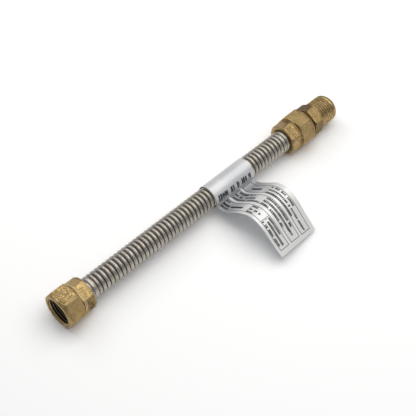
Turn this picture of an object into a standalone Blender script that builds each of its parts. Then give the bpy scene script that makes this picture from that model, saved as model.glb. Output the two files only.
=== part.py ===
# Corrugated stainless pigtail hose with two brass flare nuts, a male flare union and a wrapped tag.
# Metres, +Z up. The hose lies along X on the bottom flats of its two nuts.

import bpy
import bmesh
import math
from mathutils import Vector

# Clearances
seat_gap = 0.0003          # between pieces that touch on the real hose
root_two = math.sqrt(2.0)  # a 45 degree face is this much longer than its depth

# Corrugated hose
ring_count = 60
ring_pitch = 0.00392
crest_radius = 0.0094
valley_radius = 0.0071
shallow_valley_radius = 0.0087
shallow_rings = 4          # at each end the last rings are rolled less deep
crest_share = 0.52         # part of the pitch that the rounded crest takes
valley_share = 0.18        # part of the pitch that the narrow valley takes
hose_wall = 0.00035
cuff_radius = 0.00794      # the plain tube before it was corrugated
cuff_length = 0.0014
hose_sides = 14

# Flare thread
thread_major_radius = 0.0119
thread_minor_radius = 0.01105

# Flare nut, from its open face to the end that the hose enters
wrench_hex_across_flats = 0.028575
wrench_hex_length = 0.0149
face_radius = 0.01387
mouth_radius = 0.0117
thread_depth = 0.0134
neck_hex_across_flats = 0.02475
neck_round_radius = 0.01365
neck_length = 0.0115
neck_end_radius = 0.0129
neck_bore_radius = 0.00995

# Male flare union
union_hex_across_flats = 0.0238
union_hex_length = 0.0095
union_hex_face_radius = 0.0124
union_seam = 0.0032        # open between the outlet nut and the union's hex
outlet_thread_length = 0.016
relief_radius = 0.0112
relief_width = 0.0012
nose_land_radius = 0.0065
union_bore_radius = 0.0056
bore_chamfer = 0.0003

# Wrapped tag
tag_width = 0.0435
tag_start = 0.1555         # from the inlet nut's face to the tag's near edge
tag_thickness = 0.00035
tag_stations = 32          # across the tongue's length
tag_strips = 6             # across its width
curve_steps = 40           # fine steps between two points of an edge

# The tongue's two side edges, seen along the hose: y and z from the hose's axis
near_edge = [(-0.0090, -0.0040), (-0.0180, -0.0028), (-0.0275, 0.0042), (-0.0373, 0.0113),
             (-0.0480, 0.0147), (-0.0590, 0.0108), (-0.0700, 0.0020), (-0.0800, -0.0052)]
far_edge = [(-0.0089, -0.0042), (-0.0155, -0.0044), (-0.0245, 0.0022), (-0.0342, 0.0098),
            (-0.0440, 0.0124), (-0.0545, 0.0084), (-0.0660, -0.0024), (-0.0764, -0.0121)]

round_sides = 40           # facets round the turned brass pieces
hex_turn = math.radians(30.0)       # from a flat of a hex to its next corner
shoulder_slope = math.tan(math.radians(30.0))     # of the chamfers behind the wrench flats
cut_margin = 0.001         # how far a blank runs past the turned shape that trims it
merge_distance = 0.00001   # joins a turned shape's first and last facet

# Places along the hose, from the inlet nut's face
axis_height = wrench_hex_across_flats / 2
nut_length = wrench_hex_length + neck_length
seat_sum = thread_depth + thread_minor_radius     # depth plus radius along the nut's 45 degree seat
flare_back_sum = seat_sum - seat_gap * root_two
flare_front_sum = flare_back_sum - hose_wall * root_two
nose_sum = flare_front_sum - seat_gap * root_two
core_radius = thread_minor_radius - seat_gap      # the union's thread inside the nut, and the flare's rim
cuff_start = flare_back_sum - cuff_radius
rings_start = cuff_start + cuff_length
rings_end = rings_start + ring_count * ring_pitch
outlet_face = rings_end + rings_start
union_hex_start = outlet_face + union_seam
union_hex_end = union_hex_start + union_hex_length
cone_start = union_hex_end + outlet_thread_length
union_end = cone_start + thread_major_radius - nose_land_radius


def clear_scene():
    for old in list(bpy.data.objects):
        bpy.data.objects.remove(old, do_unlink=True)


def new_collection(name):
    collection = bpy.data.collections.new(name)
    bpy.context.scene.collection.children.link(collection)
    return collection


def new_empty(name, location, rotation_y, parent=None):
    empty = bpy.data.objects.new(name, None)
    empty.empty_display_size = 0.01
    empty.location = location
    empty.rotation_euler = (0.0, rotation_y, 0.0)
    empty.parent = parent
    parts.objects.link(empty)
    return empty


def new_material(name, colour, roughness, metallic):
    material = bpy.data.materials.new(name)
    material.use_nodes = True
    shader = material.node_tree.nodes["Principled BSDF"]
    shader.inputs["Base Color"].default_value = (*colour, 1.0)
    shader.inputs["Roughness"].default_value = roughness
    shader.inputs["Metallic"].default_value = metallic
    return material


def add_object(name, mesh, parent, collection, material=None):
    piece = bpy.data.objects.new(name, mesh)
    piece.parent = parent
    collection.objects.link(piece)
    if material:
        mesh.materials.append(material)
    if collection == cutters:
        piece.hide_render = True
        piece.display_type = "WIRE"
    return piece


def turned(name, profile, parent, collection, material=None, closed=True, sides=round_sides):
    # the profile is radius and depth, and runs down its outer side
    mesh = bpy.data.meshes.new(name)
    points = [(radius, 0.0, depth) for radius, depth in profile]
    edges = [(i, i + 1) for i in range(len(points) - 1)]
    if closed:
        edges.append((len(points) - 1, 0))
    mesh.from_pydata(points, edges, [])
    piece = add_object(name, mesh, parent, collection, material)
    screw = piece.modifiers.new("turn", "SCREW")
    screw.axis = "Z"
    screw.angle = math.tau
    screw.steps = sides
    screw.render_steps = sides
    screw.use_merge_vertices = True
    screw.merge_threshold = merge_distance
    screw.use_normal_calculate = False
    return piece


def hex_blank(name, across_flats, start, end, turn, parent, collection, material=None):
    # a flat faces local X, unless the blank is turned
    shape = bmesh.new()
    corner_radius = across_flats / math.sqrt(3.0)
    bmesh.ops.create_cone(shape, cap_ends=True, segments=6, radius1=corner_radius,
                          radius2=corner_radius, depth=end - start + 2 * cut_margin)
    mesh = bpy.data.meshes.new(name)
    shape.to_mesh(mesh)
    shape.free()
    piece = add_object(name, mesh, parent, collection, material)
    piece.location = (0.0, 0.0, (start + end) / 2)
    piece.rotation_euler = (0.0, 0.0, turn)
    return piece


def boolean(piece, operation, other):
    cut = piece.modifiers.new(operation.lower(), "BOOLEAN")
    cut.operation = operation
    cut.object = other
    cut.solver = "EXACT"


def smooth_rounds(piece, angle=30.0):
    piece.data.shade_smooth()
    piece.data.set_sharp_from_angle(angle=math.radians(angle))


def flare_nut(name, empty):
    # depth 0 is the open face, and the hose enters at nut_length
    hex_corner = wrench_hex_across_flats / math.sqrt(3.0)
    front_chamfer = hex_corner - face_radius
    shoulder_drop = hex_corner - wrench_hex_across_flats / 2
    shoulder_start = wrench_hex_length - shoulder_drop * shoulder_slope
    head_envelope = turned(name + "_head_envelope", [
        (0.0, wrench_hex_length),
        (wrench_hex_across_flats / 2, wrench_hex_length),
        (hex_corner, shoulder_start),
        (hex_corner, front_chamfer),
        (face_radius, 0.0),
        (0.0, 0.0),
    ], empty, cutters, closed=False)
    neck_envelope = turned(name + "_neck_envelope", [
        (0.0, nut_length),
        (neck_end_radius, nut_length),
        (neck_round_radius, nut_length - (neck_round_radius - neck_end_radius)),
        (neck_round_radius, wrench_hex_length / 2),
        (0.0, wrench_hex_length / 2),
    ], empty, cutters, closed=False)
    mouth_chamfer = mouth_radius - thread_minor_radius
    bore = turned(name + "_bore", [
        (0.0, nut_length + mouth_chamfer),
        (neck_bore_radius, nut_length + mouth_chamfer),
        (neck_bore_radius, seat_sum - neck_bore_radius),
        (thread_minor_radius, thread_depth),
        (thread_minor_radius, mouth_chamfer),
        (mouth_radius + mouth_chamfer, -mouth_chamfer),
        (0.0, -mouth_chamfer),
    ], empty, cutters, closed=False)
    neck = hex_blank(name + "_neck", neck_hex_across_flats, wrench_hex_length / 2, nut_length,
                     hex_turn, empty, cutters)
    boolean(neck, "INTERSECT", neck_envelope)
    nut = hex_blank(name, wrench_hex_across_flats, 0.0, wrench_hex_length, 0.0,
                    empty, parts, brass)
    boolean(nut, "INTERSECT", head_envelope)
    boolean(nut, "UNION", neck)
    boolean(nut, "DIFFERENCE", bore)
    smooth_rounds(nut)
    return nut


def flare_points(rim_first):
    # outer and inner points of one flared end, as depth into the nut from the rim to the cuff
    outer = [(core_radius, flare_back_sum - core_radius), (cuff_radius, cuff_start)]
    inner_cuff = cuff_radius - hose_wall
    inner = [(core_radius, flare_front_sum - core_radius), (inner_cuff, flare_front_sum - inner_cuff)]
    if rim_first:
        return outer, inner
    return outer[::-1], inner[::-1]


def ring_points():
    # the rolled corrugations, outside and inside, from the inlet end to the outlet end
    half_crest = crest_share * ring_pitch / 2
    half_valley = valley_share * ring_pitch / 2
    outer, inner = [], []
    for ring in range(ring_count):
        start = rings_start + ring * ring_pitch
        middle = start + ring_pitch / 2
        near_end = ring < shallow_rings or ring >= ring_count - shallow_rings
        valley = shallow_valley_radius if near_end else valley_radius
        outer += [(valley, start + half_valley), (crest_radius, middle - half_crest),
                  (crest_radius, middle + half_crest), (valley, start + ring_pitch - half_valley)]
        inner += [(valley - hose_wall, start + half_valley),
                  (crest_radius - 2 * hose_wall, middle)]
    inner.append((inner[0][0], rings_end - half_valley))
    return outer, inner


def corrugated_hose(empty):
    rim_outer, rim_inner = flare_points(True)
    end_outer, end_inner = flare_points(False)
    ring_outer, ring_inner = ring_points()
    far = rings_start + rings_end
    cuff_inner = cuff_radius - hose_wall
    outer = rim_outer + [(cuff_radius, rings_start)] + ring_outer + [(cuff_radius, rings_end)]
    outer += [(radius, far - depth) for radius, depth in end_outer]
    inner = rim_inner + [(cuff_inner, rings_start)] + ring_inner + [(cuff_inner, rings_end)]
    inner += [(radius, far - depth) for radius, depth in end_inner]
    profile = outer[::-1] + inner
    return turned("corrugated_hose", profile, empty, parts, stainless, sides=hose_sides)


def flare_union(empty):
    # the union is turned in the outlet nut's depths, so its free end is at a negative depth
    hex_near = outlet_face - union_hex_start
    hex_far = outlet_face - union_hex_end
    outlet_cone = outlet_face - cone_start
    free_end = outlet_face - union_end
    union_hex_corner = union_hex_across_flats / math.sqrt(3.0)
    hex_drop = (union_hex_corner - union_hex_face_radius) * shoulder_slope
    relief_step = thread_major_radius - relief_radius
    inlet_nose_end = nose_sum - nose_land_radius
    wall_middle = (union_bore_radius + core_radius) / 2
    hex_envelope = turned("union_hex_envelope", [
        (wall_middle, hex_near),
        (union_hex_face_radius, hex_near),
        (union_hex_corner, hex_near - hex_drop),
        (union_hex_corner, hex_far + hex_drop),
        (union_hex_face_radius, hex_far),
        (wall_middle, hex_far),
    ], empty, cutters)
    turned_body = turned("union_turned_body", [
        (nose_land_radius, inlet_nose_end),
        (core_radius, nose_sum - core_radius),
        (core_radius, (hex_near + hex_far) / 2),
        (relief_radius, (hex_near + hex_far) / 2),
        (relief_radius, hex_far - relief_width),
        (thread_major_radius, hex_far - relief_width - relief_step),
        (thread_major_radius, outlet_cone),
        (nose_land_radius, free_end),
        (union_bore_radius + bore_chamfer, free_end),
        (union_bore_radius, free_end + bore_chamfer),
        (union_bore_radius, inlet_nose_end - bore_chamfer),
        (union_bore_radius + bore_chamfer, inlet_nose_end),
    ], empty, cutters)
    union = hex_blank("flare_union", union_hex_across_flats, hex_far, hex_near,
                      hex_turn, empty, parts, brass)
    boolean(union, "INTERSECT", hex_envelope)
    boolean(union, "UNION", turned_body)
    smooth_rounds(union)
    return union


def smooth_curve(points, count):
    # evenly spaced samples of a Catmull-Rom curve through the points
    knots = [Vector(point) for point in points]
    knots = [2 * knots[0] - knots[1]] + knots + [2 * knots[-1] - knots[-2]]
    fine = []
    for a, b, c, d in zip(knots, knots[1:], knots[2:], knots[3:]):
        for step in range(curve_steps):
            t = step / curve_steps
            fine.append(0.5 * (2 * b + (c - a) * t + (2 * a - 5 * b + 4 * c - d) * t ** 2
                               + (3 * b - a - 3 * c + d) * t ** 3))
    fine.append(knots[-2])
    travel = [0.0]
    for before, after in zip(fine, fine[1:]):
        travel.append(travel[-1] + (after - before).length)
    samples, index = [], 0
    for number in range(count):
        wanted = travel[-1] * number / (count - 1)
        while index < len(fine) - 2 and travel[index + 1] < wanted:
            index += 1
        share = (wanted - travel[index]) / (travel[index + 1] - travel[index])
        samples.append(fine[index].lerp(fine[index + 1], share))
    return samples


def wrapped_tag(empty):
    # a sleeve round the hose, and a doubled tongue lofted between its two side edges
    inner_radius = crest_radius + seat_gap
    outer_radius = inner_radius + tag_thickness
    tag = turned("wrapped_tag", [
        (outer_radius, tag_start + tag_width),
        (outer_radius, tag_start),
        (inner_radius, tag_start),
        (inner_radius, tag_start + tag_width),
    ], empty, parts, foil)
    near = smooth_curve(near_edge, tag_stations)
    far = smooth_curve(far_edge, tag_stations)
    # both edges start in the middle of the sleeve's wall
    middle_radius = inner_radius + tag_thickness / 2
    near[0] = near[0].normalized() * middle_radius
    far[0] = far[0].normalized() * middle_radius
    shape = bmesh.new()
    rows = []
    for near_point, far_point in zip(near, far):
        row = []
        for strip in range(tag_strips + 1):
            share = strip / tag_strips
            y, z = near_point.lerp(far_point, share)
            row.append(shape.verts.new((-z, y, tag_start + tag_width * share)))
        rows.append(row)
    for row, after in zip(rows, rows[1:]):
        for i in range(tag_strips):
            shape.faces.new((row[i], row[i + 1], after[i + 1], after[i]))
    mesh = bpy.data.meshes.new("tag_tongue")
    shape.to_mesh(mesh)
    shape.free()
    tongue = add_object("tag_tongue", mesh, empty, cutters)
    solidify = tongue.modifiers.new("thickness", "SOLIDIFY")
    solidify.thickness = tag_thickness
    solidify.offset = 0.0
    solidify.use_even_offset = True
    boolean(tag, "UNION", tongue)
    smooth_rounds(tag)
    return tag


def lowest_and_highest(pieces):
    graph = bpy.context.evaluated_depsgraph_get()
    corners = []
    for piece in pieces:
        shown = piece.evaluated_get(graph)
        corners += [shown.matrix_world @ vertex.co for vertex in shown.data.vertices]
    lowest = Vector([min(corner[i] for corner in corners) for i in range(3)])
    highest = Vector([max(corner[i] for corner in corners) for i in range(3)])
    return lowest, highest


clear_scene()
parts = new_collection("pigtail_hose")
cutters = new_collection("cutters")
brass = new_material("brass", (0.50, 0.37, 0.18), 0.42, 1.0)
stainless = new_material("stainless_steel", (0.60, 0.57, 0.53), 0.32, 1.0)
foil = new_material("foil_label", (0.74, 0.75, 0.76), 0.45, 0.3)

# local Z of each holder runs along the hose
base = new_empty("pigtail_base", (0.0, 0.0, 0.0), 0.0)
inlet_axis = new_empty("inlet_axis", (0.0, 0.0, axis_height), math.radians(90.0), base)
outlet_axis = new_empty("outlet_axis", (outlet_face, 0.0, axis_height), math.radians(-90.0), base)

pieces = [
    flare_nut("inlet_flare_nut", inlet_axis),
    corrugated_hose(inlet_axis),
    flare_nut("outlet_flare_nut", outlet_axis),
    flare_union(outlet_axis),
    wrapped_tag(inlet_axis),
]

# the origin is on the floor, under the middle of the whole hose
lowest, highest = lowest_and_highest(pieces)
middle = (lowest + highest) / 2
base.location = (-middle.x, -middle.y, -lowest.z)
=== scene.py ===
import math

import bpy
import numpy as np
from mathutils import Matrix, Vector


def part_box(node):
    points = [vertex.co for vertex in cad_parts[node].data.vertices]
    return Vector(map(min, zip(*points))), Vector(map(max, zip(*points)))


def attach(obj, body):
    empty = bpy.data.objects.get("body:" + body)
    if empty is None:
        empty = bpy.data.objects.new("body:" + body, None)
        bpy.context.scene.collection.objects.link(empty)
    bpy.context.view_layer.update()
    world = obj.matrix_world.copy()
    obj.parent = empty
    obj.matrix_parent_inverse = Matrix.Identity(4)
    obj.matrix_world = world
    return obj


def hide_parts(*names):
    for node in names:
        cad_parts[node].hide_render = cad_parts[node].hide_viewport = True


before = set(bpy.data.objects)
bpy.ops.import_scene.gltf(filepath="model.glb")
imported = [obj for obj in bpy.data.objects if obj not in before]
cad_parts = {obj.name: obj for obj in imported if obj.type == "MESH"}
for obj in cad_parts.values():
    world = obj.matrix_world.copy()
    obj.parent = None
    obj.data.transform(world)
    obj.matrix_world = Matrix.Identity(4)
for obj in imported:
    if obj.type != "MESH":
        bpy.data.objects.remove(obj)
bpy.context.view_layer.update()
print("frame loaded:", ", ".join(sorted(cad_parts)))

mm = 0.001

# places read from the frame
nutLow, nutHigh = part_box("inlet_flare_nut")
_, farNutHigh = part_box("outlet_flare_nut")
unionLow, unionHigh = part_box("flare_union")
inletX = nutLow.x
outletX = farNutHigh.x
axisY = (nutLow.y + nutHigh.y) / 2
axisZ = (nutLow.z + nutHigh.z) / 2


# camera, light and floor

view = {
    "place": (-0.3706, -0.3389, 0.6291),
    "aim": (0.0040, 0.0324, 0.0),
    "lens": 87.74,
    "sensor": 36.0,
}
studio = {
    "sky": (0.26, 0.27, 0.285),
    "softboxes": {  # place, size, watts
        "overhead": ((0.20, -0.08, 0.85), 1.10, 6.6),
        "behind": ((-0.05, 0.60, 0.62), 0.45, 1.4),
    },
    "lampColour": (1.0, 0.985, 0.955),
    "floorColour": 0.97,
    "floorLift": 0.125,  # added where the floor is seen, not where it lights the hose
    "floorSize": 6.0,
}


def makeCamera():
    camera = bpy.data.objects.new("camera", bpy.data.cameras.new("camera"))
    camera.data.lens = view["lens"]
    camera.data.sensor_width = view["sensor"]
    camera.location = view["place"]
    sight = Vector(view["aim"]) - Vector(view["place"])
    camera.rotation_euler = sight.to_track_quat("-Z", "Y").to_euler()
    bpy.context.scene.collection.objects.link(camera)
    bpy.context.scene.camera = camera


def makeStudio():
    world = bpy.data.worlds.new("studio")
    world.use_nodes = True
    world.node_tree.nodes["Background"].inputs["Color"].default_value = (*studio["sky"], 1.0)
    bpy.context.scene.world = world
    for name, (place, size, watts) in studio["softboxes"].items():
        lamp = bpy.data.objects.new(name, bpy.data.lights.new(name, "AREA"))
        lamp.data.shape = "SQUARE"
        lamp.data.size = size
        lamp.data.energy = watts
        lamp.data.color = studio["lampColour"]
        lamp.location = place
        lamp.rotation_euler = (-lamp.location).to_track_quat("-Z", "Y").to_euler()
        bpy.context.scene.collection.objects.link(lamp)
    half = studio["floorSize"] / 2
    corners = [(-half, -half, 0), (half, -half, 0), (half, half, 0), (-half, half, 0)]
    mesh = bpy.data.meshes.new("floor")
    mesh.from_pydata(corners, [], [(0, 1, 2, 3)])
    floor = bpy.data.objects.new("floor", mesh)
    bpy.context.scene.collection.objects.link(floor)
    paper = Finish("floorPaper")
    shade = [studio["floorColour"]] * 3
    paper.surface({"Base Color": (*shade, 1.0), "Roughness": 0.9, "Specular IOR Level": 0.0})
    kinds = ("Is Camera Ray", "Is Glossy Ray", "Is Transmission Ray")
    direct, mirrored, refracted = [paper.add("ShaderNodeLightPath", output=kind) for kind in kinds]
    seen = direct.larger(mirrored).larger(refracted)
    lift = paper.mixed(seen, (0.0, 0.0, 0.0), [studio["floorLift"]] * 3)
    extra = paper.add("ShaderNodeBsdfDiffuse", {}, {"Color": lift})
    both = paper.add("ShaderNodeAddShader", {}, {0: Signal(paper, paper.shader.outputs[0]), 1: extra})
    paper.tree.links.new(both.socket, paper.tree.nodes["Material Output"].inputs["Surface"])
    mesh.materials.append(paper.material)
    bpy.context.scene.view_settings.view_transform = "Standard"


# shader maths

class Signal:
    # one output socket that can be used in plain arithmetic
    def __init__(self, finish, socket):
        self.finish = finish
        self.socket = socket

    def maths(self, operation, *values):
        return self.finish.add("ShaderNodeMath", {"operation": operation}, dict(enumerate(values)))

    def __add__(self, other):
        return self.maths("ADD", self, other)

    def __radd__(self, other):
        return self.maths("ADD", other, self)

    def __sub__(self, other):
        return self.maths("SUBTRACT", self, other)

    def __rsub__(self, other):
        return self.maths("SUBTRACT", other, self)

    def __mul__(self, other):
        return self.maths("MULTIPLY", self, other)

    def __rmul__(self, other):
        return self.maths("MULTIPLY", other, self)

    def __truediv__(self, other):
        return self.maths("DIVIDE", self, other)

    def __rtruediv__(self, other):
        return self.maths("DIVIDE", other, self)

    def __abs__(self):
        return self.maths("ABSOLUTE", self)

    def whole(self):
        return self.maths("FLOOR", self)

    def share(self):
        return self.maths("FRACT", self)

    def below(self, other):
        return self.maths("LESS_THAN", self, other)

    def above(self, other):
        return self.maths("GREATER_THAN", self, other)

    def larger(self, other):
        return self.maths("MAXIMUM", self, other)

    def between(self, low, high):
        return abs(self - (low + high) / 2).below((high - low) / 2)

    def ramp(self, low, high, start=0.0, end=1.0):
        settings = {"interpolation_type": "SMOOTHSTEP"}
        sockets = {"Value": self, "From Min": low, "From Max": high, "To Min": start, "To Max": end}
        return self.finish.add("ShaderNodeMapRange", settings, sockets)


class Finish:
    # one material and the nodes behind its Principled shader
    def __init__(self, name):
        self.material = bpy.data.materials.new(name)
        self.material.use_nodes = True
        self.tree = self.material.node_tree
        self.shader = self.tree.nodes["Principled BSDF"]

    def connect(self, node, sockets):
        for key, value in sockets.items():
            if isinstance(value, Signal):
                self.tree.links.new(value.socket, node.inputs[key])
            else:
                node.inputs[key].default_value = value

    def add(self, kind, settings=None, sockets=None, output=0):
        node = self.tree.nodes.new(kind)
        for key, value in (settings or {}).items():
            setattr(node, key, value)
        self.connect(node, sockets or {})
        return Signal(self, node.outputs[output])

    def surface(self, sockets):
        self.connect(self.shader, sockets)

    def measure(self, name):
        return self.add("ShaderNodeAttribute", {"attribute_name": name}, output="Fac")

    def placeIn(self, scale):
        # object coordinates times one scale, or one for each axis, per millimetre
        place = self.add("ShaderNodeTexCoord", output="Object")
        factors = (np.broadcast_to(scale, 3) / mm).tolist()
        return self.add("ShaderNodeVectorMath", {"operation": "MULTIPLY"}, {0: place, 1: factors})

    def noise(self, scale, detail=3.0, roughness=0.55, distortion=0.0):
        sockets = {"Vector": self.placeIn(scale), "Scale": 1.0, "Detail": detail,
                   "Roughness": roughness, "Distortion": distortion}
        return self.add("ShaderNodeTexNoise", {}, sockets)

    def mixed(self, factor, first, second):
        first = first if isinstance(first, Signal) else (*first, 1.0)
        second = second if isinstance(second, Signal) else (*second, 1.0)
        return self.add("ShaderNodeMix", {"data_type": "RGBA"}, {0: factor, 6: first, 7: second}, output=2)

    def split(self, colour):
        red = self.add("ShaderNodeSeparateColor", {}, {"Color": colour})
        return [Signal(self, socket) for socket in red.socket.node.outputs]

    def bump(self, height, strength, distance):
        sockets = {"Height": height, "Strength": strength, "Distance": distance * mm}
        return self.add("ShaderNodeBump", {}, sockets)


# turned and hexagonal shapes, as rows of radius round the hose's axis

chamferSlope = math.tan(math.radians(30))  # of a hex's chamfered ends, against its axis


def softMin(sharpness, *radii):
    # the smallest radius, blended round where two meet
    return sum(np.asarray(radius) ** -float(sharpness) for radius in radii) ** (-1.0 / sharpness)


def wornMin(sharpness, *radii, fullWear=0.005):
    # the same, and how worn each place is: 0 on a flat and 1 on a corner
    hard = np.minimum.reduce(np.broadcast_arrays(*radii))
    soft = softMin(sharpness, *radii)
    return soft, np.clip((hard - soft) / (fullWear * hard), 0, 1)


def hexRadius(angles, acrossFlats, turn, sharpness):
    # a hexagon's radius at each angle, with a flat facing the turn in degrees
    total = 0.0
    for side in range(6):
        reach = np.maximum(np.cos(angles - math.radians(turn + 60 * side)), 0.0)
        total = total + (reach / (acrossFlats / 2)) ** sharpness
    return total ** (-1.0 / sharpness)


def hexAngles(steps, crowding=0.62):
    # angles that crowd towards every 30 degrees, where a corner of one hex or the other lies
    shares = np.arange(steps) / steps
    eased = shares - crowding * np.sin(math.tau * shares) / math.tau
    return np.concatenate([math.radians(30) * (sector + eased) for sector in range(12)])


def threadWave(x, angles, pitch, flat=0.12):
    # 0 at the root and 1 at the crest of a right-hand thread, with a narrow flat on both
    turns = x / pitch - angles / math.tau
    wave = 1.0 - np.abs(2.0 * (turns - np.floor(turns)) - 1.0)
    return np.clip((wave - flat) / (1.0 - 2.0 * flat), 0.0, 1.0)


class Turning:
    # rows of depth and radius in mm, each with its material zone and marks; depth grows from the start
    # along the hose, towards the outlet or, where facing is -1, towards the inlet
    def __init__(self, angles, start, facing=1.0):
        self.angles = angles
        self.start = start
        self.facing = facing
        self.rows, self.zones, self.marks = [], [], []

    def add(self, depth, radius, zone=0, **marks):
        shape = self.angles.shape
        self.rows.append((np.broadcast_to(depth, shape), np.broadcast_to(radius, shape)))
        self.zones.append(zone)
        self.marks.append({name: np.broadcast_to(value, shape) for name, value in marks.items()})

    def build(self, name, finishes):
        count, columns = len(self.rows), len(self.angles)
        depth = np.array([row[0] for row in self.rows])
        radius = np.array([row[1] for row in self.rows])
        points = np.stack([
            self.start + self.facing * depth * mm,
            axisY + radius * np.cos(self.angles) * mm,
            axisZ + radius * np.sin(self.angles) * mm,
        ], axis=-1).reshape(-1, 3)
        index = np.arange(count * columns).reshape(count, columns)
        below = np.roll(index, -1, axis=0)
        corners = [index, np.roll(index, -1, axis=1), np.roll(below, -1, axis=1), below]
        if self.facing < 0:
            corners = corners[::-1]
        faces = np.stack(corners, axis=-1).reshape(-1, 4)
        mesh = bpy.data.meshes.new(name)
        mesh.from_pydata(points.tolist(), [], faces.tolist())
        for finish in finishes:
            mesh.materials.append(finish.material)
        mesh.polygons.foreach_set("material_index", np.repeat(self.zones, columns).astype(np.int32))
        for mark in sorted({key for marks in self.marks for key in marks}):
            values = np.array([marks.get(mark, np.zeros(columns)) for marks in self.marks])
            layer = mesh.attributes.new(mark, "FLOAT", "POINT")
            layer.data.foreach_set("value", values.ravel().astype(np.float32))
        mesh.shade_smooth()
        mesh.update()
        piece = bpy.data.objects.new(name, mesh)
        bpy.context.scene.collection.objects.link(piece)
        return piece


# the corrugated hose

hose = {  # in mm, lengths from the inlet nut's face
    "rings": 60,
    "pitch": 3.92,
    "crest": 9.4,
    "valley": 7.1,
    "endValley": 8.7,
    "endRings": 4,
    "wall": 0.35,
    "cuff": 7.94,
    "cuffEnd": 0.3,  # before the first ring
    "rimRadius": 10.75,
    "rimBack": 13.276,
    "ringsStart": 17.486,
    "columns": 88,
    "crestWander": 0.035,
    "seed": 11,
}


def ringShape(share, crestPower=2.5, valleyFloor=0.16):
    # 0 in the valley and 1 on the crest, which is broad and rounded
    side = np.abs(2.0 * share - 1.0)
    lifted = np.sqrt(np.maximum(1.0 - side ** crestPower, 0.0) + valleyFloor ** 2)
    return (lifted - valleyFloor) / (math.sqrt(1.0 + valleyFloor ** 2) - valleyFloor)


def makeHose(finish):
    angles = np.arange(hose["columns"]) * math.tau / hose["columns"]
    body = Turning(angles, inletX)
    chance = np.random.default_rng(hose["seed"])
    rings = hose["rings"]
    ringsEnd = hose["ringsStart"] + rings * hose["pitch"]
    last = hose["ringsStart"] + ringsEnd  # the outlet nut's face
    crests = hose["crest"] - hose["crestWander"] * chance.random(rings)
    tones = chance.random(rings)
    outerShares = [0.0, 0.025, 0.06, 0.11, 0.19, 0.33, 0.5, 0.67, 0.81, 0.89, 0.94, 0.975]
    innerShares = [0.0, 0.28, 0.72]
    wall, cuff, rim = hose["wall"], hose["cuff"], hose["rimRadius"]
    slant = wall * math.sqrt(2.0)
    beside = 0.5  # rows this near a corner keep it crisp
    # crest marks set the painted valley shade: a low mark paints a row darker, as on the hose's inside
    flareMarks = {"crest": 0.9, "tone": 0.5}
    cuffMarks = {"crest": 0.6, "tone": 0.5}
    insideMarks = {"crest": 0.3, "tone": 0.5}

    def ringRadius(ring, share):
        atEnd = ring < hose["endRings"] or ring >= rings - hose["endRings"]
        valley = hose["endValley"] if atEnd else hose["valley"]
        return valley + (crests[ring] - valley) * ringShape(share)

    def flare(outside):
        # rim to cuff, as depth from the nearer nut's face
        back = hose["rimBack"] + rim
        if outside:
            return [(back - radius, radius) for radius in (rim, rim - beside, cuff + beside, cuff)]
        return [(back - slant - radius, radius) for radius in (rim, rim - beside, cuff - wall)]

    for depth, radius in flare(outside=True):
        body.add(depth, radius, **flareMarks)
    body.add(hose["ringsStart"] - hose["cuffEnd"], cuff, **cuffMarks)
    for ring in range(rings):
        start = hose["ringsStart"] + ring * hose["pitch"]
        for share in outerShares:
            radius = ringRadius(ring, share)
            height = (radius - hose["valley"]) / (hose["crest"] - hose["valley"])
            height = 0.45 * height + 0.55 * ringShape(share)  # so that the shallow end valleys get the painted valley shade too
            body.add(start + share * hose["pitch"], radius, crest=height, tone=tones[ring])
    body.add(ringsEnd + hose["cuffEnd"], cuff, **cuffMarks)
    for depth, radius in flare(outside=True)[::-1]:
        body.add(last - depth, radius, **flareMarks)
    for depth, radius in flare(outside=False):
        body.add(last - depth, radius, **flareMarks)
    for ring in reversed(range(rings)):
        start = hose["ringsStart"] + ring * hose["pitch"]
        for share in reversed(innerShares):
            body.add(start + share * hose["pitch"], ringRadius(ring, share) - wall, **insideMarks)
    for depth, radius in flare(outside=False)[::-1]:
        body.add(depth, radius, **flareMarks)
    piece = body.build("corrugated_tube", [finish])
    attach(piece, "hose")
    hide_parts("corrugated_hose")
    print("hose:", len(piece.data.polygons), "faces")


# the two flare nuts

nut = {
    "hex": 28.575,
    "hexTurn": 30.0,
    "hexLength": 14.9,
    "faceRadius": 13.87,
    "mouthRadius": 11.7,
    "threadDepth": 13.4,
    "threadRoot": 11.85,
    "threadCrest": 11.05,
    "pitch": 2.1,
    "neckHex": 24.75,
    "neckTurn": 0.0,
    "neckRound": 13.65,
    "neckLength": 11.5,
    "neckEnd": 12.9,
    "neckBore": 9.95,
    "blend": 0.8,
    "beads": (1.9, 3.05),  # from the neck's foot
    "beadHeight": 0.26,
    "beadWidth": 0.42,
    "beadHighlightMark": 1.5,  # edge marks above 1 paint a highlight on the beads
    "brightMouth": 0.7,
    "fadeIn": 1.6,
    "edge": 0.25,
    "sharpness": 130,
    "neckSharpness": 42,
    "columnSteps": 18,
    "rowsPerTurn": 16,
    "forgeDepth": 0.025,
}
nutLooks = {  # a flat is named by the angle of its middle
    "inlet_nut": {
        "coarseHead": 90,
        "coarseNeck": 180,
        "stampedFlat": 120,
        # the neck flat that gets painted shade, and how dark
        "shadedFlat": 180,
        "flatShade": 1.0,
        "beaded": 1.0,
        "seed": 3,
    },
    "outlet_nut": {
        "coarseHead": 30,
        "coarseNeck": 120,
        "stampedFlat": 240,
        # the neck flat that gets painted shade, and how dark
        "shadedFlat": 180,
        "flatShade": 0.35,
        "beaded": 0.4,
        "seed": 4,
    },
}
stamp = {  # plain strokes struck into one flat of the neck, in mm across the flat and from the neck's foot
    "pitch": 1.45,
    "stroke": 0.40,
    "across": (-4.2, 4.2),
    "along": (4.4, 7.2),
}


def forgedSurface(x, angles, seed, waves=9):
    # slow waves, so that no forged flat is quite flat
    chance = np.random.default_rng(seed)
    total = 0.0
    for _ in range(waves):
        along, around = chance.uniform(0.25, 1.1), chance.integers(3, 17)
        total = total + np.sin(along * x + around * angles + chance.uniform(0, math.tau))
    return total / waves


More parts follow.
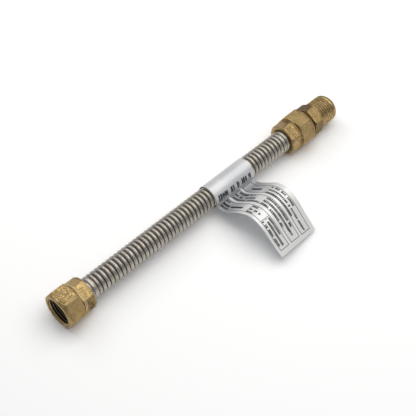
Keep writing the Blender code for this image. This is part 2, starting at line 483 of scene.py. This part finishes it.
def everyOtherFlat(angles, middle):
    # 1 on every other flat, from the one whose middle is given in degrees
    return np.clip(0.5 + 2.5 * np.cos(3 * (angles - math.radians(middle))), 0.0, 1.0)


def oneFlat(angles, middle):
    # 1 on the flat whose middle is given in degrees
    within = np.cos(angles - math.radians(middle)) - math.cos(math.radians(30))
    return np.clip(0.5 + 8.0 * within, 0.0, 1.0)


def makeNut(name, node, body, start, facing, finishes):
    look = nutLooks[name]
    angles = hexAngles(nut["columnSteps"])
    offStamp = 99.0  # a place that no struck stroke reaches
    shape = Turning(angles, start, facing)
    sharp, blunt = nut["sharpness"], nut["neckSharpness"]
    headHex = hexRadius(angles, nut["hex"], nut["hexTurn"], sharp)
    neckHex = hexRadius(angles, nut["neckHex"], nut["neckTurn"], blunt)
    length = nut["hexLength"] + nut["neckLength"]
    forged, machined, bore = 0, 1, 2

    def head(depth):
        front = nut["faceRadius"] + depth
        rear = nut["hex"] / 2 + (nut["hexLength"] - depth) / chamferSlope
        return wornMin(sharp, headHex, front, rear)

    def neck(depth):
        end = nut["neckEnd"] + length - depth
        fromFoot = depth - nut["hexLength"]
        bead = sum(math.exp(-((fromFoot - place) / nut["beadWidth"]) ** 2) for place in nut["beads"])
        soft = softMin(sharp, neckHex, nut["neckRound"], end)
        soft = soft + nut["beadHeight"] * look["beaded"] * bead
        return soft, nut["beadHighlightMark"] * look["beaded"] * min(1.0, bead)

    def forge(depth):
        return -nut["forgeDepth"] * (1 + forgedSurface(start / mm + facing * depth, angles, look["seed"]))

    edge = nut["edge"]
    headCoarse = everyOtherFlat(angles, look["coarseHead"])
    neckCoarse = everyOtherFlat(angles, look["coarseNeck"])
    # painted shade on one neck flat, the one whose middle faces 180 degrees
    neckShade = oneFlat(angles, look["shadedFlat"]) * look["flatShade"]
    fromStamp = angles - math.radians(look["stampedFlat"])
    creaseEnd = nut["hexLength"] + nut["beads"][0] - nut["beadWidth"]

    # open face and head
    shape.add(0.0, nut["mouthRadius"] + 0.05, machined, edge=1.0)
    shape.add(0.0, nut["mouthRadius"] + 0.3, machined, edge=0.9)
    shape.add(0.0, nut["mouthRadius"] + 0.5, machined, soiled=0.9)
    shape.add(0.0, nut["faceRadius"] - 0.6, machined, soiled=0.9)
    shape.add(0.0, nut["faceRadius"] - 0.3, machined, edge=0.4, soiled=0.7)
    shape.add(0.04, nut["faceRadius"] - 0.1, machined, edge=0.7, soiled=0.7)
    for depth in (0.16, 0.5, 1.0, 1.6, 2.1, 2.6, 3.1):
        radius, worn = head(depth)
        zone = forged if depth > 0.3 else machined
        shape.add(depth, radius, zone, edge=worn, coarse=headCoarse * min(1.0, depth), soiled=0.4)
    for depth in np.linspace(3.8, nut["hexLength"] - 2.6, 11):
        radius, worn = head(depth)
        shape.add(depth, radius + forge(depth), forged, edge=worn, coarse=headCoarse)
    for depth in np.linspace(nut["hexLength"] - 2.0, nut["hexLength"] - edge, 7):
        radius, worn = head(depth)
        shape.add(depth, radius, forged, edge=worn, coarse=headCoarse)

    # shoulder, and the fillet down to the neck
    shoulder, _ = head(nut["hexLength"])
    shape.add(nut["hexLength"] - edge * 0.3, shoulder - edge * 0.3, forged, edge=0.8)
    # crease marks paint shade into the shoulder and the fillet below it
    shape.add(nut["hexLength"], shoulder - edge, forged, crease=0.5)
    foot, _ = neck(nut["hexLength"] + nut["blend"])
    fillet = np.minimum(nut["blend"], 0.9 * (shoulder - edge - foot))
    for turn in np.linspace(0.0, math.pi / 2, 7):
        depth = nut["hexLength"] + fillet * (1 - math.cos(turn))
        shape.add(depth, foot + fillet * (1 - math.sin(turn)), forged, crease=1.0 - 0.8 * math.sin(turn))

    # neck: the beads, the flats with one struck, and the end
    for depth in np.linspace(nut["hexLength"] + nut["blend"] + 0.15, nut["hexLength"] + 3.6, 16):
        radius, worn = neck(depth)
        # painted shade: dark in the crease at the neck's foot, lighter over the rest of this band but for
        # the beads
        creaseShade = 0.95 if depth < creaseEnd else 0.3 * (1 - min(1.0, worn))
        shape.add(depth, radius, forged, edge=worn, coarse=neckCoarse * 0.5, soiled=neckShade * 0.8,
                  crease=creaseShade, stampAcross=offStamp)
    onFlat = np.abs(fromStamp % math.tau - math.pi) > math.radians(150)
    for depth in np.linspace(nut["hexLength"] + 3.8, length - 1.9, 9):
        radius, worn = neck(depth)
        acrossFlat = np.where(onFlat, radius * np.sin(fromStamp), offStamp)
        shape.add(depth, radius + forge(depth), forged, edge=worn, coarse=neckCoarse, soiled=neckShade,
                  stampAcross=acrossFlat, stampAlong=depth - nut["hexLength"])
    for depth in (length - 1.5, length - 1.2, length - 0.9, length - 0.6, length - 0.3):
        radius, worn = neck(depth)
        shape.add(depth, radius, machined, edge=worn, soiled=0.3 + neckShade * 0.5)
    shape.add(length - 0.06, nut["neckEnd"] - 0.05, machined, edge=0.8)
    shape.add(length, nut["neckEnd"] - 0.25, machined, soiled=0.3)
    shape.add(length, nut["neckBore"] + 0.5, machined, soiled=0.6)

    # bore, seat, female thread and chamfered mouth
    # inside marks paint shade, darker deeper into the bore and thread
    shape.add(length - 0.08, nut["neckBore"] + 0.1, bore, inside=0.1)
    shape.add(length - 0.35, nut["neckBore"], bore, inside=0.3)
    shape.add(length - 3.0, nut["neckBore"], bore, inside=1.0)
    seat = nut["threadDepth"] + nut["threadCrest"]
    shape.add(seat - nut["neckBore"], nut["neckBore"], bore, inside=1.0)
    shape.add(nut["threadDepth"] + 0.3, nut["threadCrest"] - 0.3, bore, inside=1.0)
    mouthEnd = nut["mouthRadius"] - nut["threadCrest"]
    turns = (nut["threadDepth"] - mouthEnd) / nut["pitch"]
    for depth in np.linspace(nut["threadDepth"], mouthEnd, int(turns * nut["rowsPerTurn"])):
        fade = min(1.0, (nut["threadDepth"] - depth) / nut["fadeIn"])
        cut = 1.0 - threadWave(start / mm + facing * depth, angles, nut["pitch"])
        radius = nut["threadCrest"] + fade * (nut["threadRoot"] - nut["threadCrest"]) * cut
        radius = np.maximum(radius, nut["mouthRadius"] - depth)  # the mouth's chamfer
        # painted shade grows from just past the mouth's chamfer
        inside = min(1.0, max(0.0, depth - mouthEnd - nut["brightMouth"]) / 2.0)
        shape.add(depth, radius, bore, inside=inside, edge=1.0 - cut)
    shape.add(mouthEnd * 0.5, nut["mouthRadius"] - mouthEnd * 0.5 + 0.25, machined, inside=0.0)
    piece = shape.build(name, finishes)
    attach(piece, body)
    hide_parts(node)
    print(name + ":", len(piece.data.polygons), "faces")


# the male flare union

union = {
    "landRadius": 6.5,
    "boreRadius": 5.6,
    "boreChamfer": 0.3,
    "coreRadius": 10.75,
    "innerCone": 4.25,
    "hex": 23.8,
    "hexTurn": 0.0,
    "hexGap": 3.2,
    "hexLength": 9.5,
    "hexFace": 12.4,
    "reliefRadius": 11.2,
    "reliefWidth": 1.2,
    "threadCrest": 11.9,
    "threadRoot": 11.02,
    "plainBand": 1.9,
    "cone": 5.4,
    "pitch": 2.1,
    "coarseFlat": 120.0,
    "noseBulge": 0.75,
    "sharpness": 130,
    "columnSteps": 16,
    "rowsPerTurn": 16,
    "forgeDepth": 0.025,
    "seed": 5,
}


def makeUnion(finishes):
    angles = hexAngles(union["columnSteps"])
    shape = Turning(angles, inletX)
    hexes = hexRadius(angles, union["hex"], union["hexTurn"], union["sharpness"])
    noseStart, end = (unionLow.x - inletX) / mm, (unionHigh.x - inletX) / mm
    nutFace = (outletX - inletX) / mm
    hexStart = nutFace + union["hexGap"]
    hexEnd = hexStart + union["hexLength"]
    coneStart = end - union["cone"]
    forged, threaded, bore = 0, 1, 2

    def hexAt(x):
        near = union["hexFace"] + (x - hexStart) / chamferSlope
        far = union["hexFace"] + (hexEnd - x) / chamferSlope
        return wornMin(union["sharpness"], hexes, near, far)

    def threadRows(low, high, fadeLow, fadeHigh):
        for x in np.arange(low, high, union["pitch"] / union["rowsPerTurn"]):
            crest = threadWave(inletX / mm + x, angles, union["pitch"])
            fade = min(1.0, (x - low) / fadeLow, (high - x) / fadeHigh)
            depth = (union["threadCrest"] - union["threadRoot"]) * (1.0 - crest)
            chamfer = union["threadCrest"] - 0.75 * (1.0 - fade)
            radius = np.minimum(union["threadCrest"] - depth, chamfer)
            # crease marks paint shade into the thread's roots
            shape.add(x, radius, threaded, edge=crest * 0.85, crease=0.45 - 0.45 * crest, soiled=0.2)

    # nose inside the nut, and the thread that shows beside it
    shape.add(noseStart, union["landRadius"], threaded)
    shape.add(noseStart + union["innerCone"], union["coreRadius"], threaded)
    shape.add(nutFace - 0.4, union["coreRadius"], threaded, inside=1.0)
    threadRows(nutFace - 0.3, hexStart - 0.9, 0.3, 0.5)
    # crease marks paint shade into the groove beside the hex
    shape.add(hexStart - 0.85, union["reliefRadius"] - 0.3, threaded, crease=1.0)
    shape.add(hexStart - 0.2, union["reliefRadius"] - 0.3, threaded, crease=1.0)

    # hex
    # crease mark: painted shade at the hex's foot
    shape.add(hexStart, union["reliefRadius"], forged, crease=0.8)
    shape.add(hexStart, union["hexFace"] - 0.35, forged)
    shape.add(hexStart + 0.05, union["hexFace"] - 0.1, forged, edge=1.0)
    coarse = everyOtherFlat(angles, union["coarseFlat"])
    marks = {"coarse": coarse, "soiled": 1.0 - coarse}
    chamferRows = np.array([0.2, 0.45, 0.75, 1.05, 1.4])
    for x in hexStart + chamferRows:
        radius, worn = hexAt(x)
        shape.add(x, radius, forged, edge=worn, **marks)
    for x in np.linspace(hexStart + 2.0, hexEnd - 2.0, 7):
        radius, worn = hexAt(x)
        radius = radius - union["forgeDepth"] * (1 + forgedSurface(x, angles, union["seed"]))
        shape.add(x, radius, forged, edge=worn, **marks)
    for x in hexEnd - chamferRows[::-1]:
        radius, worn = hexAt(x)
        shape.add(x, radius, forged, edge=worn, **marks)
    shape.add(hexEnd - 0.05, union["hexFace"] - 0.1, forged, edge=1.0)
    shape.add(hexEnd, union["hexFace"] - 0.3, forged)

    # relief groove, thread and the plain band before the cone
    # crease marks paint shade into the relief groove
    shape.add(hexEnd, union["reliefRadius"] + 0.2, threaded, crease=0.7)
    shape.add(hexEnd + 0.25, union["reliefRadius"], threaded, crease=1.0)
    shape.add(hexEnd + union["reliefWidth"], union["reliefRadius"], threaded, crease=0.8)
    bandStart = coneStart - union["plainBand"]
    threadRows(hexEnd + union["reliefWidth"] + 0.1, bandStart, 0.7, 0.9)
    # crease mark: painted shade where the thread ends
    shape.add(bandStart + 0.1, union["threadRoot"] + 0.1, threaded, crease=1.0)
    for share in (0.0, 0.15, 0.35, 0.6, 0.85):
        swell = union["threadCrest"] - 0.12 - 0.45 * (1 - share) ** 3
        shape.add(bandStart + 0.25 + share * (union["plainBand"] - 0.25), swell, threaded, edge=0.9 * share)

    # cone with a slight bulge, then the land and the bore right through
    for share in (0.0, 0.05, 0.12, 0.22, 0.4, 0.6, 0.78, 0.88, 0.95):
        straight = union["threadCrest"] - share * union["cone"]
        rounding = 0.2 * max(0.0, 1 - share / 0.22) + 0.2 * max(0.0, (share - 0.78) / 0.22)
        bulge = union["noseBulge"] * 4 * share * (1 - share)
        radius = straight - rounding + bulge
        shape.add(coneStart + share * union["cone"], radius, threaded, edge=0.35, soiled=0.5)
    shape.add(end - 0.04, union["landRadius"] - 0.12, threaded, edge=1.0)
    shape.add(end, union["landRadius"] - 0.3, threaded)
    shape.add(end, union["boreRadius"] + union["boreChamfer"] + 0.05, threaded, edge=0.6)
    # inside marks paint shade, darker deeper into the bore
    shape.add(end - union["boreChamfer"], union["boreRadius"], bore, inside=0.2)
    for x in (end - 3.0, end - 8.0, noseStart + 1.0):
        shape.add(x, union["boreRadius"], bore, inside=min(1.0, (end - x) / 8.0))
    shape.add(noseStart, union["boreRadius"] + union["boreChamfer"], bore, inside=1.0)
    piece = shape.build("male_union", finishes)
    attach(piece, "hose")
    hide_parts("flare_union")
    print("union:", len(piece.data.polygons), "faces")


# the label: one strip folded double round the hose

label = {
    "start": 155.5,
    "width": 43.5,
    "wrapRadius": 10.0,
    "thickness": 0.12,
    "layerGap": 0.03,
    "creaseReach": 0.9,
    "stations": 90,
    "wrapStations": 96,
    "strips": 28,
    "wobble": 0.025,
    "nearEdge": [(-9.0, -4.0), (-18.0, -2.8), (-27.5, 4.2), (-37.3, 11.3),
                 (-48.0, 14.68), (-59.0, 10.8), (-70.0, 2.0), (-80.0, -5.2)],
    "farEdge": [(-8.9, -4.2), (-15.5, -4.4), (-24.5, 2.2), (-34.2, 9.8),
                (-44.0, 12.4), (-54.5, 8.4), (-66.0, -2.4), (-76.4, -12.1)],
}


def smoothCurve(points, count, fineSteps=40):
    # evenly spaced samples of a Catmull-Rom curve
    knots = np.array(points, dtype=float)
    knots = np.vstack([2 * knots[0] - knots[1], knots, 2 * knots[-1] - knots[-2]])
    shares = (np.arange(fineSteps) / fineSteps)[:, None]
    fine = [0.5 * (2 * b + (c - a) * shares + (2 * a - 5 * b + 4 * c - d) * shares ** 2
                   + (3 * b - a - 3 * c + d) * shares ** 3)
            for a, b, c, d in zip(knots, knots[1:], knots[2:], knots[3:])]
    fine = np.vstack(fine + [knots[-2:-1]])
    travel = np.concatenate([[0.0], np.cumsum(np.linalg.norm(np.diff(fine, axis=0), axis=1))])
    wanted = np.linspace(0.0, travel[-1], count)
    return np.stack([np.interp(wanted, travel, column) for column in fine.T], axis=1)


def roundedCorner(before, corner, after, steps=6):
    shares = np.linspace(0.0, 1.0, steps)[:, None]
    return (1 - shares) ** 2 * before + 2 * shares * (1 - shares) * corner + shares ** 2 * after


def labelSection(edge):
    # one section of the strip: the top layer from its end to the crease, round the hose, and back below
    middle = smoothCurve(edge, label["stations"])
    run = np.gradient(middle, axis=0)
    run /= np.linalg.norm(run, axis=1)[:, None]
    upward = np.stack([run[:, 1], -run[:, 0]], axis=1)
    apart = label["layerGap"] / 2 + label["thickness"]
    top = middle + upward * apart
    under = middle - upward * apart
    radius, reach = label["wrapRadius"], label["creaseReach"]
    crease = math.atan2(edge[0][1], edge[0][0]) % math.tau
    turn = reach / radius
    arc = np.linspace(crease - turn, crease - math.tau + turn, label["wrapStations"])
    wrap = radius * np.stack([np.cos(arc), np.sin(arc)], axis=1)
    corner = radius * np.array([math.cos(crease), math.sin(crease)])
    outside = np.linalg.norm(middle - corner, axis=1) > reach
    top, under = top[outside], under[outside]
    path = np.vstack([top[::-1], roundedCorner(top[0], corner, wrap[0])[1:-1], wrap,
                      roundedCorner(wrap[-1], corner, under[0])[1:-1], under])
    travel = np.concatenate([[0.0], np.cumsum(np.linalg.norm(np.diff(path, axis=0), axis=1))])
    along = travel[len(top) + 1] - travel
    return path, along


def makeLabel(finish):
    near, alongNear = labelSection(label["nearEdge"])
    far, alongFar = labelSection(label["farEdge"])
    strips = label["strips"]
    shares = np.linspace(0.0, 1.0, strips + 1)
    rows = len(near)
    path = near[:, None] * (1 - shares)[None, :, None] + far[:, None] * shares[None, :, None]
    along = alongNear[:, None] * (1 - shares) + alongFar[:, None] * shares
    across = np.broadcast_to(label["width"] * (1 - shares), (rows, strips + 1))
    stations = label["start"] + label["width"] * np.broadcast_to(shares, (rows, strips + 1))
    reach = np.linalg.norm(path, axis=2)
    sway = np.sin(stations * 0.42 + along * 0.31) * np.sin(along * 0.23 + 1.0)  # long, shallow waves
    path = path * (1 - label["wobble"] * sway / reach)[..., None]
    points = np.stack([
        inletX + stations * mm,
        axisY + path[..., 0] * mm,
        axisZ + path[..., 1] * mm,
    ], axis=-1)
    index = np.arange(rows * (strips + 1)).reshape(rows, strips + 1)
    corners = [index[:-1, :-1], index[1:, :-1], index[1:, 1:], index[:-1, 1:]]
    faces = np.stack(corners, axis=-1).reshape(-1, 4)
    mesh = bpy.data.meshes.new("foil_label")
    mesh.from_pydata(points.reshape(-1, 3).tolist(), [], faces.tolist())
    for mark, values in (("across", across), ("along", along)):
        layer = mesh.attributes.new(mark, "FLOAT", "POINT")
        layer.data.foreach_set("value", values.astype(np.float32).ravel())
    mesh.materials.append(finish.material)
    piece = bpy.data.objects.new("foil_label", mesh)
    bpy.context.scene.collection.objects.link(piece)
    skin = piece.modifiers.new("thickness", "SOLIDIFY")
    skin.thickness = label["thickness"] * mm
    skin.offset = 1.0
    skin.use_even_offset = False
    mesh.shade_smooth()
    graph = bpy.context.evaluated_depsgraph_get()
    piece.data = bpy.data.meshes.new_from_object(piece.evaluated_get(graph))
    piece.modifiers.clear()
    piece.data.name = "foil_label"
    piece.data.shade_smooth()
    piece.data.set_sharp_from_angle(angle=math.radians(50))
    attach(piece, "hose")
    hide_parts("wrapped_tag")
    print("label:", len(piece.data.polygons), "faces")


# finishes

steel = {
    "crest": (0.505, 0.478, 0.436),
    "warm": (0.39, 0.35, 0.295),
    # painted shade for the corrugations' valleys
    "valley": (0.10, 0.086, 0.067),
    "roughness": 0.39,
}
brass = {
    "clean": (0.55, 0.39, 0.175),
    "dull": (0.36, 0.255, 0.115),
    "red": (0.33, 0.20, 0.09),
    # stains, and the painted shade of creases, grooves and thread roots
    "stainAndShade": (0.11, 0.066, 0.028),
    "worn": (0.70, 0.53, 0.28),
    # painted shade deep in the bores, with the thread crests there less dark
    "bore": (0.062, 0.048, 0.036),
    "boreCrest": (0.32, 0.25, 0.17),
    "roughness": 0.40,
    # how fine each mottling is, per mm
    "patches": 0.15,
    "clouds": 0.33,
    "grains": 1.15,
    "pits": 0.95,
    "worms": 0.62,
}
foil = {
    "silver": (0.62, 0.63, 0.645),
    "paper": (0.87, 0.865, 0.845),
    "shade": (0.41, 0.42, 0.435),
    "ink": (0.020, 0.021, 0.023),
}


def steelFinish():
    finish = Finish("stainlessSteel")
    crest, tone = finish.measure("crest"), finish.measure("tone")
    streaks = finish.noise((3.2, 0.06, 0.06), detail=4.0, roughness=0.7)
    scuffs = finish.noise((0.5, 1.2, 1.2), detail=3.0)
    grains = finish.noise(0.9, detail=4.0, roughness=0.65)
    patches = finish.noise((0.12, 0.2, 0.2), detail=2.0)
    # painted shade: rows low in a corrugation are mixed towards the dark valley colour
    height = (crest + (streaks - 0.5) * 0.25).ramp(0.12, 0.80)
    warmth = streaks.ramp(0.40, 0.58) * 0.3 + patches.ramp(0.35, 0.7) * 0.3
    warmth = warmth + grains.ramp(0.42, 0.62) * 0.6 + tone * 0.3
    colour = finish.mixed(warmth.ramp(0.1, 1.2), steel["crest"], steel["warm"])
    colour = finish.mixed(height, steel["valley"], colour)
    relief = streaks + (scuffs - 0.5) * 0.4 + (grains - 0.5) * 0.8
    finish.surface({
        "Base Color": colour,
        "Metallic": 1.0,
        "Roughness": steel["roughness"] + (scuffs - 0.5) * 0.25 + (1 - height) * 0.15,
        "Normal": finish.bump(relief, 0.8, 0.16),
    })
    return finish


def brassFinish(name, forged, dullness):
    finish = Finish(name)
    edge, crease = finish.measure("edge"), finish.measure("crease")
    coarse, soiled = finish.measure("coarse"), finish.measure("soiled")
    patches = finish.noise(brass["patches"], detail=4.0, roughness=0.6)
    clouds = finish.noise(brass["clouds"], detail=3.0, roughness=0.55, distortion=0.4)
    grains = finish.noise(brass["grains"], detail=4.0, roughness=0.65)
    dull = patches.ramp(0.36, 0.66) * 0.45 + dullness + (grains - 0.5) * 1.5
    # soiled marks dull the brass: grime, and painted shade on one neck flat of each nut
    dull = (dull + soiled * 0.6 - coarse * 0.35).ramp(0.0, 1.0)
    colour = finish.mixed(dull, brass["clean"], brass["dull"])
    colour = finish.mixed(clouds.ramp(0.46, 0.66) * (0.45 - coarse * 0.3), colour, brass["red"])
    pits = finish.noise(brass["pits"], detail=4.0, roughness=0.6).ramp(0.55, 0.68)
    # crease marks paint shade into creases, grooves and thread roots; pits and grime darken too
    dirtAndShade = pits * (0.5 - coarse * 0.15) + crease * 0.8 + soiled * grains.ramp(0.42, 0.62) * 0.5
    if forged:
        # short worm-like hollows, where a band of one noise meets patches of another
        course = finish.noise(brass["worms"], detail=1.5, roughness=0.5, distortion=1.0)
        worms = abs(course - 0.5).ramp(0.015, 0.075, 1.0, 0.0) * clouds.ramp(0.30, 0.46) * coarse
        across, along = finish.measure("stampAcross"), finish.measure("stampAlong")
        strokes = (across / stamp["pitch"] + 0.5).share().below(stamp["stroke"])
        strokes = strokes * across.between(*stamp["across"]) * along.between(*stamp["along"])
        height = (grains - 0.5) * (0.3 + coarse * 0.7) - worms * 0.8 - pits * 0.4 - strokes * 0.9
        dirtAndShade = dirtAndShade + worms * 0.45 + strokes * 0.5 + soiled * 0.3
        normal = finish.bump(height, 0.9, 0.22)
    else:
        turned = finish.noise((4.0, 0.10, 0.10), detail=3.0)
        normal = finish.bump(turned - pits * 0.3, 0.5, 0.10)
    grimeAndShade = dirtAndShade.ramp(0.0, 1.0)
    colour = finish.mixed(grimeAndShade, colour, brass["stainAndShade"])
    beadHighlight = edge.ramp(1.0, 1.4)  # painted highlight on the rolled beads at a nut's neck
    rub = finish.mixed(clouds.ramp(0.50, 0.62) * (1 - beadHighlight), brass["worn"], brass["red"])
    # worn colour on rubbed edges, and the beads' painted highlight
    wearAndHighlight = edge.ramp(0.35, 0.9) * (0.45 + patches.ramp(0.35, 0.6) * 0.35) + beadHighlight * 0.6
    colour = finish.mixed(wearAndHighlight.ramp(0.0, 1.0), colour, rub)
    finish.surface({
        "Base Color": colour,
        "Metallic": 1.0,
        "Roughness": brass["roughness"] + (grains - 0.5) * 0.3 + grimeAndShade * 0.2,
        "Normal": normal,
    })
    return finish


def boreFinish():
    finish = Finish("brassBore")
    inside, edge = finish.measure("inside"), finish.measure("edge")
    turned = finish.noise((4.0, 0.15, 0.15), detail=3.0)
    # painted shade: the bore darkens with depth, its thread crests less than its roots
    colour = finish.mixed(edge, brass["dull"], brass["clean"])
    deepShade = finish.mixed(edge.ramp(0.5, 1.0), brass["bore"], brass["boreCrest"])
    finish.surface({
        "Base Color": finish.mixed(inside.ramp(0.0, 0.35), colour, deepShade),
        "Metallic": 1.0,
        "Roughness": brass["roughness"] + (turned - 0.5) * 0.2 + inside * 0.12,
    })
    return finish


# printed places on the flat label, in mm: from the far edge, and along the tongue from the crease
printed = {
    "frames": [
        (4.3, 14.8, 0.5, 77.9),
        (17.3, 27.7, 0.5, 77.6),
        (30.6, 40.9, 0.5, 77.6),
    ],
    "rules": [(4.3, 14.8, 27.0), (30.6, 40.9, 49.5), (30.6, 40.9, 32.6)],
    "lines": [
        (5.3, 7.6, 29.2, 55.4), (9.0, 11.1, 29.2, 65.4), (9.0, 11.1, 66.7, 76.3), (12.5, 14.7, 29.2, 60.8),
        (18.0, 20.4, 0.6, 22.0), (21.8, 24.2, 1.2, 26.7), (25.4, 27.6, 2.0, 34.6),
        (18.0, 20.4, 36.2, 67.5), (21.6, 24.1, 36.2, 73.3), (25.3, 27.6, 36.2, 63.3),
        (31.5, 33.7, 0.6, 4.6), (38.4, 40.7, 0.6, 8.8),
        (31.5, 33.7, 33.3, 39.2), (35.2, 37.3, 33.3, 45.4), (38.4, 40.6, 33.3, 39.6),
        (31.5, 33.6, 50.6, 66.7), (34.5, 36.8, 50.6, 75.0), (38.1, 40.5, 50.6, 73.8),
    ],
    "bars": [(8.75, 10.9, 7.3, 20.6), (35.3, 37.6, 9.2, 25.0), (35.4, 37.7, 0.6, 8.0)],
    "headings": [(3.8, 6.6), (8.2, 14.4), (17.0, 27.2), (30.2, 40.6)],
    "headingBand": (-10.4, -3.9),
    "separators": [(15.1, 17.0, 0.0, 78.2), (28.0, 30.3, 0.0, 78.2)],
    "creaseLine": (-1.1, -0.1),
    "ruleWidth": 0.55,
    "stroke": 1.65,  # from one upright stroke to the next
    "headingStroke": 2.35,
    "headingChances": 5,  # the row of chances that the headings' strokes are drawn from
}


def labelFinish():
    finish = Finish("foilLabel")
    across, along = finish.measure("across"), finish.measure("along")
    rule = printed["ruleWidth"]

    def box(low, high, start, end):
        return across.between(low, high) * along.between(start, end)

    def inkStrokes(run, rise, line, pitch, weight):
        # upright strokes of uneven width and height, some joined, with gaps here and there
        place = run / pitch + line * 3.7
        cell = place.whole()
        spot = finish.add("ShaderNodeCombineXYZ", {}, {"X": cell, "Y": line})
        flat = {"noise_dimensions": "2D"}
        chances = finish.add("ShaderNodeTexWhiteNoise", flat, {"Vector": spot}, output="Color")
        wide, tall, joined = finish.split(chances)
        stroke = abs(place - cell - 0.5).below(weight + wide * 0.14)
        stroke = stroke * abs(rise - 0.5).below(0.41 + tall * 0.12)
        link = joined.above(0.42) * abs(rise - 0.2 - tall * 0.6).below(0.18)
        return stroke.larger(link) * joined.above(0.10)

    inLine = lineNumber = rise = 0.0
    for number, (low, high, start, end) in enumerate(printed["lines"], 1):
        here = box(low, high, start, end)
        inLine = here + inLine
        lineNumber = here * number + lineNumber
        rise = here * ((across - low) / (high - low)) + rise
    ink = inLine * inkStrokes(along, rise, lineNumber, printed["stroke"], weight=0.29)
    bandStart, bandEnd = printed["headingBand"]
    headings = 0.0
    for low, high in printed["headings"]:
        headings = box(low, high, bandStart, bandEnd) + headings
    rise = (along - bandStart) / (bandEnd - bandStart)
    strokes = inkStrokes(across, rise, printed["headingChances"], printed["headingStroke"], weight=0.31)
    ink = ink.larger(headings * strokes * 0.95)
    for place in printed["bars"]:
        ink = ink.larger(box(*place))
    for low, high, start, end in printed["frames"]:
        outline = box(low, high, start, end) - box(low + rule, high - rule, start + rule, end - rule)
        ink = ink.larger(outline * 0.9)
    for low, high, place in printed["rules"]:
        ink = ink.larger(box(low, high, place, place + rule) * 0.8)
    ink = ink.larger(along.between(*printed["creaseLine"]) * 0.5)
    light = 0.0
    for place in printed["separators"]:
        light = box(*place) + light
    cloudy = finish.noise(0.05, detail=2.0)
    tongueWhite = along.ramp(18.0, 36.0)
    # painted highlight: the paper is whiter in a band over the top of the wrap
    wrapHighlight = along.ramp(-27.0, -20.0) * along.ramp(-12.0, -8.0, 1.0, 0.0)
    whiteness = cloudy.ramp(0.35, 0.65) * 0.4 + light + tongueWhite * 1.25 + wrapHighlight * 0.3
    base = finish.mixed(whiteness.ramp(0.0, 1.5), foil["silver"], foil["paper"])
    shaded = along.ramp(6.0, 28.0, 1.0, 0.0) * along.above(0.0)
    base = finish.mixed(shaded * (1 - light * 0.8), base, foil["shade"])
    finish.surface({
        "Base Color": finish.mixed(ink, base, foil["ink"]),
        "Metallic": 0.25 - ink * 0.2,
        "Roughness": 0.36 + ink * 0.2,
        "Normal": finish.bump(finish.noise(0.3, detail=2.0), 0.15, 0.2),
    })
    return finish


makeCamera()
makeStudio()
print("camera and studio ready")
forgedBrass = brassFinish("brassForged", forged=True, dullness=0.05)
machinedBrass = brassFinish("brassMachined", forged=False, dullness=0.25)
unionBrass = brassFinish("brassUnion", forged=True, dullness=0.22)
boreBrass = boreFinish()
makeHose(steelFinish())
nutFinishes = [forgedBrass, machinedBrass, boreBrass]
makeNut("inlet_nut", "inlet_flare_nut", "inlet_nut", inletX, 1.0, nutFinishes)
makeNut("outlet_nut", "outlet_flare_nut", "hose", outletX, -1.0, nutFinishes)
makeUnion([unionBrass, machinedBrass, boreBrass])
makeLabel(labelFinish())
